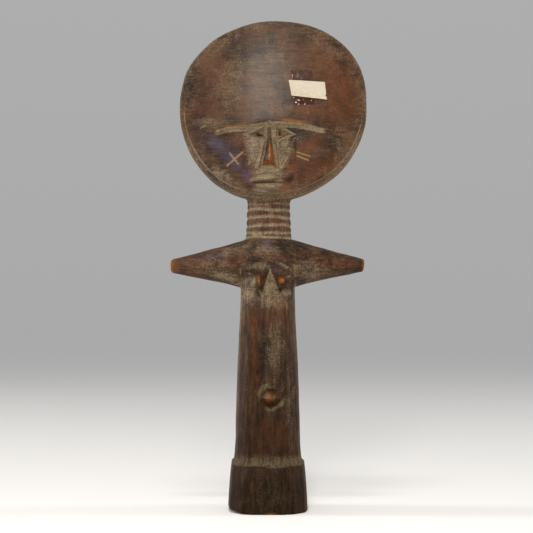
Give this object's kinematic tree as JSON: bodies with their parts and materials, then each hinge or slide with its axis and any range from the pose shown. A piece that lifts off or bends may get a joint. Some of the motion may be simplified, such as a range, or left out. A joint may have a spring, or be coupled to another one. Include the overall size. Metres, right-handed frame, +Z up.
{
  "type": "fertility doll",
  "caption": "Carved wooden doll with a flat round head, simple cut face, ringed neck, short straight arms, tapering trunk and round foot block, with a small blank paper label on clear tape.",
  "frame": {"origin": "centre of the flat underside of the foot block, on the surface that the doll stands on", "axes": "+Z up along the trunk; the face looks along -Y; +X is the doll's own left, on the right when seen from the front"},
  "size_m": [0.1214, 0.0468, 0.3005],
  "materials": {
    "dark_wood": "dark stained carved wood with a grey-beige dust film in its hollows",
    "worn_wood": "the same wood, rubbed to an orange-brown sheen on its high points",
    "paper": "uncoated cream paper",
    "tape": "clear glossy film"
  },
  "bodies": {
    "root": {"base": "dark_wood", "torso": "dark_wood", "right_arm": "dark_wood", "left_arm": "dark_wood", "neck": "dark_wood", "head_disc": "dark_wood", "lips": "dark_wood", "nose": "worn_wood", "right_breast": "worn_wood", "left_breast": "worn_wood", "navel": "worn_wood", "paper_label": "paper", "clear_tape": "tape"}
  },
  "joints": []
}
